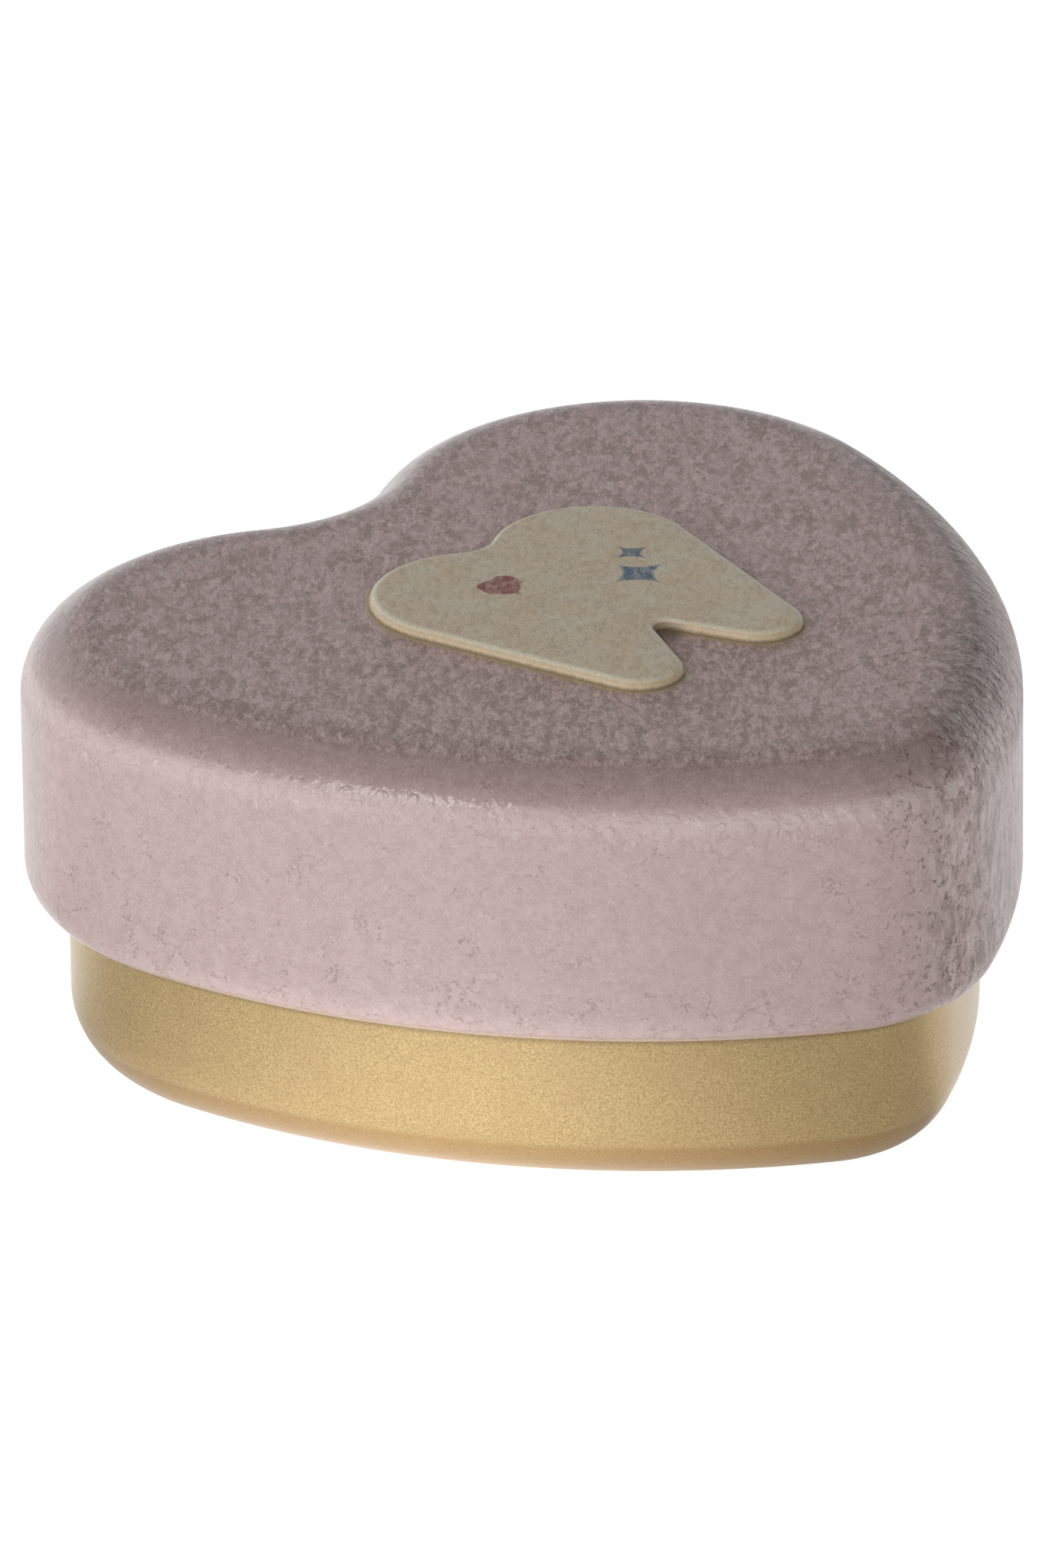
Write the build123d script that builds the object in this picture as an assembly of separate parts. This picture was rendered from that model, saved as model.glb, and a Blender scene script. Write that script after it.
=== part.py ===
from build123d import *
import math
import os

# Heart-shaped keepsake tin for milk teeth: a drawn base and a drawn slip lid, both of painted
# tinplate, with a tooth raised in the lid. Millimetres, +Z up. The origin is on the table under the
# middle of the lid. +Y points to the cleft between the heart's lobes, and -Y to its tip.

# Plan of the heart, measured on the outside of the lid
HEART_WIDTH = 54.0
LOBE_RADIUS = 15.0
TIP_RADIUS = 9.7
FLANK_RADIUS = 46.5
CLEFT_RADIUS = 7.9
LOBE_TO_TIP = 25.65

# Heights above the table
LID_RIM_HEIGHT = 9.3
LID_TOP_HEIGHT = 24.5

# Sheet metal
SHEET = 0.3

# Lid section: the shoulder, and a skirt rolled inwards and hemmed at its lower edge
SHOULDER_RADIUS = 3.9
RIM_RADIUS = 2.26
RIM_ANGLE = 65.0
HEM_RADIUS = 0.57
HEM_LEG = 0.6

# Base section: a round bottom edge, and a top edge curled inwards
BASE_EDGE_RADIUS = 3.85
CURL_RADIUS = 0.65
CURL_LEG = 0.25

# Running fit of the lid on the base, and the gap where the lid sits on the curl
SLIP_CLEARANCE = 0.15
SEAT_GAP = 0.05

# Tooth raised in the lid, and the enamel over it
TOOTH_WIDTH = 19.4
TOOTH_LENGTH = 20.2
TOOTH_OFFSET = 0.9
TOOTH_RISE = 0.55
CUSP_RADIUS = 5.4
FISSURE_RADIUS = 2.2
ROOT_RADIUS = 2.3
ROOT_SPACING = 8.6
FORK_RADIUS = 0.6
FORK_DEPTH = 5.4
TOOTH_EDGE_RADIUS = 0.4
RECESS_EDGE_RADIUS = 0.12
ENAMEL = 0.1

# How far a flat panel runs into the ring round it before the two are joined
PANEL_LAP = 0.8

# Circles that touch within this rounding meet in one point, with no straight run between them
ANGLE_DIGITS = 9
SAME_POINT = 1e-5

RIGHT_ANGLE = 90.0
HALF_TURN = 180.0
FULL_TURN = 360.0


def touching_centre(first, first_reach, second, second_reach, side):
    """Centre of a circle at given distances from two others' centres; side 1 is left of first-to-second."""
    across = second - first
    along = (first_reach**2 - second_reach**2 + across.length**2) / (2 * across.length)
    off = math.sqrt(first_reach**2 - along**2)
    unit = across.normalized()
    left = Vector(-unit.Y, unit.X)
    return first + unit * along + left * (side * off)


def mirrored(point):
    return Vector(-point.X, point.Y)


def heart_circles():
    """The heart's circles, anticlockwise. A hollow one, such as the cleft, has a negative radius."""
    length = LOBE_RADIUS + LOBE_TO_TIP + TIP_RADIUS
    tip = Vector(0, TIP_RADIUS - length / 2)
    lobe = Vector(HEART_WIDTH / 2 - LOBE_RADIUS, tip.Y + LOBE_TO_TIP)
    flank = touching_centre(tip, FLANK_RADIUS - TIP_RADIUS, lobe, FLANK_RADIUS - LOBE_RADIUS, 1)
    reach = LOBE_RADIUS + CLEFT_RADIUS
    cleft = touching_centre(lobe, reach, mirrored(lobe), reach, -1)
    return [
        (tip, TIP_RADIUS),
        (flank, FLANK_RADIUS),
        (lobe, LOBE_RADIUS),
        (cleft, -CLEFT_RADIUS),
        (mirrored(lobe), LOBE_RADIUS),
        (mirrored(flank), FLANK_RADIUS),
    ]


def tooth_circles():
    """The tooth's circles, anticlockwise: crown towards +Y with two cusps, and two roots towards -Y."""
    crown_top = TOOTH_OFFSET + TOOTH_LENGTH / 2
    root_bottom = TOOTH_OFFSET - TOOTH_LENGTH / 2
    cusp = Vector(TOOTH_WIDTH / 2 - CUSP_RADIUS, crown_top - CUSP_RADIUS)
    root = Vector(ROOT_SPACING / 2, root_bottom + ROOT_RADIUS)
    reach = CUSP_RADIUS + FISSURE_RADIUS
    fissure = touching_centre(cusp, reach, mirrored(cusp), reach, -1)
    fork = Vector(0, root_bottom + FORK_DEPTH - FORK_RADIUS)
    return [
        (root, ROOT_RADIUS),
        (cusp, CUSP_RADIUS),
        (fissure, -FISSURE_RADIUS),
        (mirrored(cusp), CUSP_RADIUS),
        (mirrored(root), ROOT_RADIUS),
        (fork, -FORK_RADIUS),
    ]


def tangent_points(first, first_radius, second, second_radius):
    """Where a path that follows the first circle leaves it, and where it meets the second."""
    across = second - first
    share = round((second_radius - first_radius) / across.length, ANGLE_DIGITS)
    bearing = math.atan2(across.Y, across.X) + math.acos(max(-1, min(1, share)))
    left = Vector(math.cos(bearing), math.sin(bearing))
    return first - left * first_radius, second - left * second_radius


def outline(circles, inset):
    """The closed path round the circles, moved inwards, as arcs and the straight runs between them."""
    turned = [(centre, radius - inset) for centre, radius in circles]
    following = turned[1:] + turned[:1]
    runs = [tangent_points(*near, *far) for near, far in zip(turned, following)]
    path = []
    for (centre, radius), (_, start), run in zip(turned, runs[-1:] + runs[:-1], runs):
        path.append(("arc", centre, radius, start, run[0]))
        if (run[1] - run[0]).length > SAME_POINT:
            path.append(("line", *run))
    return path


def bearing_of(vector):
    return math.degrees(math.atan2(vector.Y, vector.X))


def arc_angles(centre, radius, start, end):
    """Start angle and signed sweep of an arc: anticlockwise if the radius is positive."""
    first = bearing_of(start - centre)
    last = bearing_of(end - centre)
    sweep = (last - first) % FULL_TURN
    return first, sweep if radius > 0 else sweep - FULL_TURN


def plan_face(circles, inset, height):
    """Flat face inside the path, at a height."""
    edges = []
    for kind, *rest in outline(circles, inset):
        if kind == "arc":
            centre, radius, start, end = rest
            first, sweep = arc_angles(centre, radius, start, end)
            middle = math.radians(first + sweep / 2)
            crest = centre + Vector(math.cos(middle), math.sin(middle)) * abs(radius)
            edges.append(ThreePointArc(start, crest, end))
        else:
            edges.append(Line(*rest))
    return Pos(0, 0, height) * make_face(edges)


def prism(circles, inset, low, high):
    """Upright solid with the path's outline between two heights."""
    return extrude(plan_face(circles, inset, low), high - low, dir=(0, 0, 1))


def bent_sheet(start, heading, hand, bends):
    """Section of a sheet bent along its outer face, in inset and height.

    Each bend is (straight run before it, outer radius, angle). hand is 1 for bends to the left and
    -1 to the right, and the sheet's thickness lies on the inside of the bends.
    """
    place = Vector(*start)
    angle = heading
    outer, inner = [], []
    for straight, radius, turn in bends:
        ahead = Vector(math.cos(math.radians(angle)), math.sin(math.radians(angle)))
        side = Vector(-ahead.Y, ahead.X) * hand
        stop = place + ahead * straight
        if straight > 0:
            outer.append(Line(place, stop))
            inner.append(Line(place + side * SHEET, stop + side * SHEET))
        place = stop
        if turn == 0:
            continue
        centre = place + side * radius
        spokes = [(-side).rotate(Axis.Z, hand * turn * part) for part in (0, 1 / 2, 1)]
        outer.append(ThreePointArc(*[centre + spoke * radius for spoke in spokes]))
        inner.append(ThreePointArc(*[centre + spoke * (radius - SHEET) for spoke in spokes]))
        place = centre + spokes[-1] * radius
        angle += hand * turn
    ends = [Line(outer[0] @ 0, inner[0] @ 0), Line(outer[-1] @ 1, inner[-1] @ 1)]
    return make_face(outer + inner + ends)


def carried_round(section, circles):
    """The section carried round the path: turned about each arc's own centre."""
    ring = None
    for kind, *rest in outline(circles, 0):
        if kind == "arc":
            centre, radius, start, end = rest
            _, sweep = arc_angles(centre, radius, start, end)
            inward = (centre - start).normalized() * math.copysign(1, radius)
            stand = Plane(origin=start, x_dir=inward, z_dir=inward.cross(Vector(0, 0, 1)))
            axis = Axis(centre, (0, 0, math.copysign(1, sweep)))
            piece = revolve(stand * section, axis=axis, revolution_arc=abs(sweep))
        else:
            start, end = rest
            ahead = (end - start).normalized()
            inward = Vector(-ahead.Y, ahead.X)
            stand = Plane(origin=start, x_dir=inward, z_dir=inward.cross(Vector(0, 0, 1)))
            piece = extrude(stand * section, (end - start).length, dir=ahead)
        ring = piece if ring is None else ring + piece
    return ring


def hem_inset():
    """How far in from the lid's skirt the hem's inner face stands."""
    lean = math.cos(math.radians(RIM_ANGLE))
    return RIM_RADIUS * (1 - lean) + HEM_RADIUS * (1 + lean)


def rim_drop():
    """Height of the skirt's straight wall above the rim's lowest point."""
    lean = math.sin(math.radians(RIM_ANGLE))
    return RIM_RADIUS * lean + HEM_RADIUS * (1 - lean)


def base_inset():
    """How far in from the lid's skirt the base's wall stands."""
    return hem_inset() + SLIP_CLEARANCE


def base_top():
    """Height of the base's curl, set so that the lid's shoulder seats on it."""
    reach = SHOULDER_RADIUS - SHEET - CURL_RADIUS - SEAT_GAP
    aside = max(0, SHOULDER_RADIUS - base_inset() - CURL_RADIUS)
    return LID_TOP_HEIGHT - SHOULDER_RADIUS + math.sqrt(reach**2 - aside**2) + CURL_RADIUS


def edges_at(solid, height):
    """Edges that lie flat at a height."""
    return solid.edges().filter_by_position(Axis.Z, height, height)


def tooth_boss(grown):
    """Raised tooth as a solid from the underside of the lid's panel; grown makes it larger all over."""
    top = LID_TOP_HEIGHT + TOOTH_RISE + grown
    boss = prism(tooth_circles(), -grown, LID_TOP_HEIGHT - SHEET, top)
    return fillet(edges_at(boss, top), TOOTH_EDGE_RADIUS + grown)


def tooth_recess():
    """Hollow that the raised tooth leaves under the lid's panel."""
    top = LID_TOP_HEIGHT + TOOTH_RISE - SHEET
    recess = prism(tooth_circles(), SHEET, LID_TOP_HEIGHT - SHEET - PANEL_LAP, top)
    return fillet(edges_at(recess, top), RECESS_EDGE_RADIUS)


def lid_shell():
    wall = LID_TOP_HEIGHT - SHOULDER_RADIUS - LID_RIM_HEIGHT - rim_drop()
    section = bent_sheet(
        start=(SHOULDER_RADIUS + PANEL_LAP, LID_TOP_HEIGHT),
        heading=HALF_TURN,
        hand=1,
        bends=[
            (PANEL_LAP, SHOULDER_RADIUS, RIGHT_ANGLE),
            (wall, RIM_RADIUS, RIM_ANGLE),
            (0, HEM_RADIUS, HALF_TURN - RIM_ANGLE),
            (HEM_LEG, 0, 0),
        ],
    )
    ring = carried_round(section, heart_circles())
    panel = prism(heart_circles(), SHOULDER_RADIUS, LID_TOP_HEIGHT - SHEET, LID_TOP_HEIGHT)
    return ring + panel + tooth_boss(0) - tooth_recess()


def tooth_enamel():
    under_panel = prism(heart_circles(), 0, 0, LID_TOP_HEIGHT)
    return tooth_boss(ENAMEL) - tooth_boss(0) - under_panel


def base_shell():
    wall = base_top() - CURL_RADIUS - BASE_EDGE_RADIUS
    floor_inset = base_inset() + BASE_EDGE_RADIUS
    section = bent_sheet(
        start=(floor_inset + PANEL_LAP, 0),
        heading=HALF_TURN,
        hand=-1,
        bends=[
            (PANEL_LAP, BASE_EDGE_RADIUS, RIGHT_ANGLE),
            (wall, CURL_RADIUS, HALF_TURN),
            (CURL_LEG, 0, 0),
        ],
    )
    ring = carried_round(section, heart_circles())
    panel = prism(heart_circles(), floor_inset, 0, SHEET)
    return ring + panel


os.makedirs("parts", exist_ok=True)
export_step(base_shell(), "parts/base_shell.step")
export_step(lid_shell(), "parts/lid_shell.step")
export_step(tooth_enamel(), "parts/tooth_enamel.step")
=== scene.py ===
# %% [markdown]
# # A heart-shaped tin for milk teeth
#
# The tin is two drawn cups of thin steel sheet: a base in satin gold lacquer, and a slip lid in mauve
# lacquer that drops over it. A tooth is raised in the lid and filled in with beige enamel. The script
# lays fine surfaces over the engineering model, gives each one its finish, and sets up a soft studio.

import math
from types import SimpleNamespace

import bpy
import numpy as np
from mathutils import Matrix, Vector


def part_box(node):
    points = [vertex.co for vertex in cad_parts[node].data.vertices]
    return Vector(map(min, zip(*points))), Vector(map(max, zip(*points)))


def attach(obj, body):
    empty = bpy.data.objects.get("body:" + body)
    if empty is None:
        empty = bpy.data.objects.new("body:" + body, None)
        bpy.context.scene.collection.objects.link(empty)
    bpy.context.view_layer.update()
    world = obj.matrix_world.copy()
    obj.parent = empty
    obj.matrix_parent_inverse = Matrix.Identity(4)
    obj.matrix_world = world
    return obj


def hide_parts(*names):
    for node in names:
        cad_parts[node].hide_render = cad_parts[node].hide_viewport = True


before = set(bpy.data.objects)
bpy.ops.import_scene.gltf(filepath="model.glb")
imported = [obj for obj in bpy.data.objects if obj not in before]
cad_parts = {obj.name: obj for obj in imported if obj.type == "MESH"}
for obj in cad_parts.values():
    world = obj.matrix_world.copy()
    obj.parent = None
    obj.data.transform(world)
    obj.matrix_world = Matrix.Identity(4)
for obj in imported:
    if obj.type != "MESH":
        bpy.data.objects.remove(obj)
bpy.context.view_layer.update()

# %% [markdown]
# ## Working in millimetres
#
# The tin is only 54 mm wide, so its sizes are easier to read in millimetres. The scene is in metres, and
# each surface is scaled once, when it becomes a mesh.

# %% Sizes taken from the model
MM = 0.001

lid_low, lid_high = [np.array(corner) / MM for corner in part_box("lid_shell")]
base_low, base_high = [np.array(corner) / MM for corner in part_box("base_shell")]
enamel_low, enamel_high = [np.array(corner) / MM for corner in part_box("tooth_enamel")]
HEART_WIDTH = lid_high[0] - lid_low[0]
HEART_LENGTH = lid_high[1] - lid_low[1]
BASE_INSET = (HEART_WIDTH - (base_high[0] - base_low[0])) / 2
print(f"lid {HEART_WIDTH:.2f} x {HEART_LENGTH:.2f} mm, base {BASE_INSET:.2f} mm inside it")

# %% [markdown]
# ## The outline of the heart
#
# A press tool for a heart is drawn as circles that touch: a tip, two long flanks, two lobes and one
# hollow circle for the cleft. A smooth freehand curve would be quicker, but touching circles have an
# exact inward direction at every point. Moving the outline inwards is then one line: point plus inset
# times that direction. Every ring of the tin is made that way.

# %% The centre of a circle that touches two others
LEFT, RIGHT = 1, -1


def touching(first, first_reach, second, second_reach, side):
    """Point at two given distances from two points: along their join, then off it to the left or right."""
    across = second - first
    gap = np.hypot(*across)
    along = (first_reach**2 - second_reach**2 + gap**2) / (2 * gap)
    unit = across / gap
    left = np.array([-unit[1], unit[0]])
    return first + unit * along + left * side * math.sqrt(first_reach**2 - along**2)


# %% Circles of the heart
LOBE_RADIUS = 15.0
TIP_RADIUS = 9.7
FLANK_RADIUS = 46.5
CLEFT_RADIUS = 7.9
MIRROR = np.array([-1, 1])


def heart_circles():
    """Centres and radii of the heart's circles, anticlockwise from the tip; a hollow one is negative."""
    tip = np.array([0, TIP_RADIUS - HEART_LENGTH / 2])
    lobe = np.array([HEART_WIDTH / 2 - LOBE_RADIUS, HEART_LENGTH / 2 - LOBE_RADIUS])
    flank = touching(tip, FLANK_RADIUS - TIP_RADIUS, lobe, FLANK_RADIUS - LOBE_RADIUS, LEFT)
    reach = LOBE_RADIUS + CLEFT_RADIUS
    cleft = touching(lobe, reach, lobe * MIRROR, reach, RIGHT)
    return [
        (tip, TIP_RADIUS),
        (flank, FLANK_RADIUS),
        (lobe, LOBE_RADIUS),
        (cleft, -CLEFT_RADIUS),
        (lobe * MIRROR, LOBE_RADIUS),
        (flank * MIRROR, FLANK_RADIUS),
    ]


print("circles at", [centre.round(1).tolist() for centre, radius in heart_circles()])


# %% Where neighbouring circles touch
def arc_ends(circles):
    """First and last point of each circle's arc.

    The common tangent of two circles touches both at their centres plus radius times one direction: the
    join of the centres turned by the angle whose cosine is the difference of the radii over its length.
    """
    leaving, reaching = [], []
    for (near, r_near), (far, r_far) in zip(circles, circles[1:] + circles[:1]):
        across = far - near
        share = np.clip((r_far - r_near) / np.hypot(*across), -1, 1)
        bearing = math.atan2(across[1], across[0]) + math.acos(share)
        left = np.array([math.cos(bearing), math.sin(bearing)])
        leaving.append(near - left * r_near)
        reaching.append(far - left * r_far)
    return reaching[-1:] + reaching[:-1], leaving


# %% Walk round the circles
def follow(circles, samples):
    """Points and inward directions round touching circles.

    Each circle gives an arc from its first tangent point to its last, centre + radius * (cos, sin), and
    the inward direction is the one from the arc to the centre, turned round on a hollow circle.
    """
    points, inward = [], []
    for (centre, radius), start, end in zip(circles, *arc_ends(circles)):
        first = math.atan2(*(start - centre)[::-1])
        sweep = (math.atan2(*(end - centre)[::-1]) - first) % math.tau
        if radius < 0:
            sweep -= math.tau
        angle = first + sweep * np.linspace(0, 1, samples)
        spoke = np.stack([np.cos(angle), np.sin(angle)], axis=1)
        points.append(centre + abs(radius) * spoke)
        inward.append(-spoke * np.sign(radius))
    return np.concatenate(points), np.concatenate(inward)


# %% Even steps round the heart
AROUND = 720
HEART_SAMPLES = 400


def even_steps(points, inward, count):
    """The same outline resampled to a count of points at equal distances along it."""
    loop = np.concatenate([points, points[:1]])
    travelled = np.concatenate([[0], np.cumsum(np.hypot(*np.diff(loop, axis=0).T))])
    wanted = np.linspace(0, travelled[-1], count, endpoint=False)
    turned = np.concatenate([inward, inward[:1]])
    place = np.stack([np.interp(wanted, travelled, loop[:, k]) for k in (0, 1)], axis=1)
    facing = np.stack([np.interp(wanted, travelled, turned[:, k]) for k in (0, 1)], axis=1)
    return place, facing / np.hypot(*facing.T)[:, None]


heart, heart_in = even_steps(*follow(heart_circles(), HEART_SAMPLES), AROUND)
print("heart outline spans", np.ptp(heart, axis=0).round(2), "mm")

# %% [markdown]
# ## Bent sheet
#
# Both cups have a section that a sheet-metal worker would draw as straight runs and bends. A turtle
# walks that section: it goes straight, then turns about a centre at its side. The inner face turns about
# the same centres with a radius smaller by the sheet's thickness, so the sheet is as thick everywhere.

# %% Points of a section
SAME_PLACE = 1e-6
OUTSIDE_STEP = 1.2
INSIDE_STEP = 2.4


def without_repeats(points):
    """The same points without any that stands on the one before it."""
    apart = np.hypot(*np.diff(points, axis=0).T) > SAME_PLACE
    return points[np.concatenate([[True], apart])]


def split_runs(points, longest):
    """The same section with extra points wherever a run is longer than a limit."""
    pieces = []
    for near, far in zip(points[:-1], points[1:]):
        count = max(1, math.ceil(np.hypot(*(far - near)) / longest))
        pieces.append(near + (far - near) * np.arange(count)[:, None] / count)
    return np.concatenate(pieces + [points[-1:]])


# %% Section of a bent sheet
SHEET = 0.3
BEND_STEPS = 14


def bent_section(start, heading, hand, bends):
    """Outer and inner faces of a bent sheet, as (inset, height) points.

    A bend is (straight run, radius, degrees), and the outer arc is centre + radius * turned spoke, while
    the inner arc has the same spokes with the radius less the sheet's thickness.
    """
    place, angle = np.array(start, float), math.radians(heading)
    outer, inner = [], []
    for straight, radius, turn in bends:
        ahead = np.array([math.cos(angle), math.sin(angle)])
        side = np.array([-ahead[1], ahead[0]]) * hand
        run = np.stack([place, place + ahead * straight])
        outer.append(run)
        inner.append(run + side * SHEET)
        place = run[1]
        if turn:
            swing = hand * math.radians(turn) * np.linspace(0, 1, BEND_STEPS)
            spoke_angle = math.atan2(*(-side)[::-1]) + swing
            spokes = np.stack([np.cos(spoke_angle), np.sin(spoke_angle)], axis=1)
            centre = place + side * radius
            outer.append((centre + spokes * radius)[1:])
            inner.append((centre + spokes * (radius - SHEET))[1:])
            place = outer[-1][-1]
            angle += hand * math.radians(turn)
    return without_repeats(np.concatenate(outer)), without_repeats(np.concatenate(inner))


# %% [markdown]
# ## From rings to a mesh
#
# A pressed cup could be a revolved curve, but a heart isn't round. So each point of the section becomes a
# ring round the heart, and neighbouring rings are joined with quads. A grid like that is closed by a
# point at each end, and it has no seam.

# %% Rings
def ring(outline, inward, inset, height):
    """One closed ring: outline + inset * inward, at a height."""
    flat = outline + inward * inset
    return np.concatenate([flat, np.full((len(flat), 1), height)], axis=1)


def rings_of(outline, inward, section):
    """A ring for each (inset, height) point of a section."""
    return [ring(outline, inward, inset, height) for inset, height in section]


# %% A skin over the rings
SHARP_FROM = math.radians(50)


def skin(name, rings, first_pole, last_pole):
    """A mesh from rings that all have the same count of points, with quads between neighbours.

    Quad (i, j) joins points i and i + 1 of rings j and j + 1, and a pole is a fan of triangles to one
    point. The rings run so that the faces point outwards.
    """
    grid = np.concatenate(rings)
    step = np.arange(AROUND)
    ahead = (step + 1) % AROUND
    near = np.arange(len(rings) - 1)[:, None] * AROUND
    far = near + AROUND
    quads = np.stack([near + step, far + step, far + ahead, near + ahead], axis=-1).reshape(-1, 4)
    first, last = np.full(AROUND, len(grid)), np.full(AROUND, len(grid) + 1)
    end = len(grid) - AROUND
    fans = [np.stack([ahead, first, step], axis=-1), np.stack([end + step, last, end + ahead], axis=-1)]
    faces = quads.tolist() + np.concatenate(fans).tolist()
    vertices = np.concatenate([grid, [first_pole, last_pole]]) * MM
    mesh = bpy.data.meshes.new(name)
    mesh.from_pydata(vertices.tolist(), [], faces)
    mesh.validate()
    mesh.shade_smooth()
    piece = bpy.data.objects.new(name, mesh)
    bpy.context.scene.collection.objects.link(piece)
    mesh.set_sharp_from_angle(angle=SHARP_FROM)
    print(f"{name}: {len(vertices)} points, {len(faces)} faces")
    return piece


# %% Marks for the materials
def mark(piece, name, first, last):
    """A number on each point for the materials to read: 1 from one ring to another and 0 elsewhere."""
    number = np.arange(len(piece.data.vertices)) // AROUND
    flags = (number >= first) & (number < last)
    piece.data.attributes.new(name, "FLOAT", "POINT").data.foreach_set("value", flags.astype(float))
    print(f"{piece.name}: {name} on {flags.sum()} points")


# %% [markdown]
# ## The outline of the tooth
#
# The tooth is a plain two-cusp molar in touching circles too. Seen from a point in its crown, every ray
# crosses its outline once. So the tooth, the flat panel and the heart can share one set of rays, and the
# whole lid becomes a single grid of rings and rays, with no seam between the raised tooth and the panel.

# %% Circles of the tooth
TOOTH_WIDTH = 19.4
TOOTH_LENGTH = 20.2
TOOTH_OFFSET = 0.9
CUSP_RADIUS = 5.4
FISSURE_RADIUS = 2.2
ROOT_RADIUS = 2.3
ROOT_SPACING = 8.6
FORK_RADIUS = 0.6
FORK_DEPTH = 5.4


def tooth_circles():
    """Centres and radii of the tooth's circles, anticlockwise from the right root."""
    top = TOOTH_OFFSET + TOOTH_LENGTH / 2
    bottom = TOOTH_OFFSET - TOOTH_LENGTH / 2
    cusp = np.array([TOOTH_WIDTH / 2 - CUSP_RADIUS, top - CUSP_RADIUS])
    root = np.array([ROOT_SPACING / 2, bottom + ROOT_RADIUS])
    reach = CUSP_RADIUS + FISSURE_RADIUS
    fissure = touching(cusp, reach, cusp * MIRROR, reach, RIGHT)
    fork = np.array([0, bottom + FORK_DEPTH - FORK_RADIUS])
    return [
        (root, ROOT_RADIUS),
        (cusp, CUSP_RADIUS),
        (fissure, -FISSURE_RADIUS),
        (cusp * MIRROR, CUSP_RADIUS),
        (root * MIRROR, ROOT_RADIUS),
        (fork, -FORK_RADIUS),
    ]


FORK = tooth_circles()[-1][0].tolist()
print(f"the roots fork at {FORK[1]:.1f} mm")

# %% Rays from the crown
CROWN_CENTRE = np.array([0.0, 2.0])
SHOULDER_RADIUS = 3.9
TOOTH_SAMPLES = 1500


def on_rays(points, inward, bearings):
    """The outline sampled where rays from the crown's centre cross it, by interpolation over bearing."""
    offset = points - CROWN_CENTRE
    own = np.unwrap(np.arctan2(offset[:, 1], offset[:, 0]))
    order = np.argsort(own)
    own, points, inward = own[order], points[order], inward[order]
    wanted = own[0] + (bearings - own[0]) % math.tau
    columns = [np.interp(wanted, own, values, period=math.tau) for values in (*points.T, *inward.T)]
    place, facing = np.stack(columns[:2], axis=1), np.stack(columns[2:], axis=1)
    return place, facing / np.hypot(*facing.T)[:, None]


shoulder_line = heart + heart_in * SHOULDER_RADIUS - CROWN_CENTRE
rays = np.unwrap(np.arctan2(shoulder_line[:, 1], shoulder_line[:, 0]))
tooth, tooth_in = on_rays(*follow(tooth_circles(), TOOTH_SAMPLES), rays)
print("tooth outline spans", np.ptp(tooth, axis=0).round(2), "mm")

# %% [markdown]
# ## The lid
#
# A drawn cap has a rounded shoulder, a straight skirt, and a lower edge rolled inwards and hemmed, so no
# raw steel is left to cut a finger. The same press stroke raises the tooth in the panel and leaves its
# hollow underneath. The rings start at the middle of the raised tooth, run out over the panel, down the
# skirt and round the hem, and come back inside to the middle of the hollow.

# %% Section of the lid
RIM_RADIUS = 2.26
RIM_ANGLE = 65.0
HEM_RADIUS = 0.57
HEM_LEG = 0.6
OUTWARDS = 180

lid_top = enamel_low[2]
rim_height = lid_low[2]


def lid_section():
    """The shoulder's quarter turn, the skirt, the rolled rim, and a hem that ends in a short leg up."""
    drop = RIM_RADIUS * math.sin(math.radians(RIM_ANGLE))
    drop += HEM_RADIUS * (1 - math.sin(math.radians(RIM_ANGLE)))
    wall = lid_top - SHOULDER_RADIUS - rim_height - drop
    bends = [
        (0, SHOULDER_RADIUS, 90),
        (wall, RIM_RADIUS, RIM_ANGLE),
        (0, HEM_RADIUS, 180 - RIM_ANGLE),
        (HEM_LEG, 0, 0),
    ]
    return bent_section((SHOULDER_RADIUS, lid_top), OUTWARDS, LEFT, bends)


print(f"panel at {lid_top:.2f} mm, lower edge at {rim_height:.2f} mm")


# %% Rings over flat parts
def edge_arc(radius, steps):
    """Quarter turn from a level top to an upright wall, as (distance inside the wall, drop) points."""
    turn = np.linspace(0, math.pi / 2, steps)
    return np.stack([radius * (1 - np.sin(turn)), radius * (1 - np.cos(turn))], axis=1)


def shrunk(outline, inward, inset, height, shares):
    """Rings from near the crown's centre out to an inset ring, each a scaled copy of it."""
    outermost = ring(outline, inward, inset, height)
    centre = np.array([*CROWN_CENTRE, height])
    return [centre + (outermost - centre) * share for share in shares]


def blended(inner, outer, count):
    """Rings between two rings, each a straight mix of both, without the two themselves."""
    return [inner + (outer - inner) * share for share in np.arange(1, count) / count]


# %% The lid's surface
ENAMEL = 0.1
FLARE = 0.5
TOOTH_EDGE_RADIUS = 0.4
EDGE_STEPS = 8
TOOTH_SHARES = (0.2, 0.6)
PANEL_RINGS = 8
CEILING_RINGS = 5

tooth_top = enamel_high[2] - ENAMEL


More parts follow.
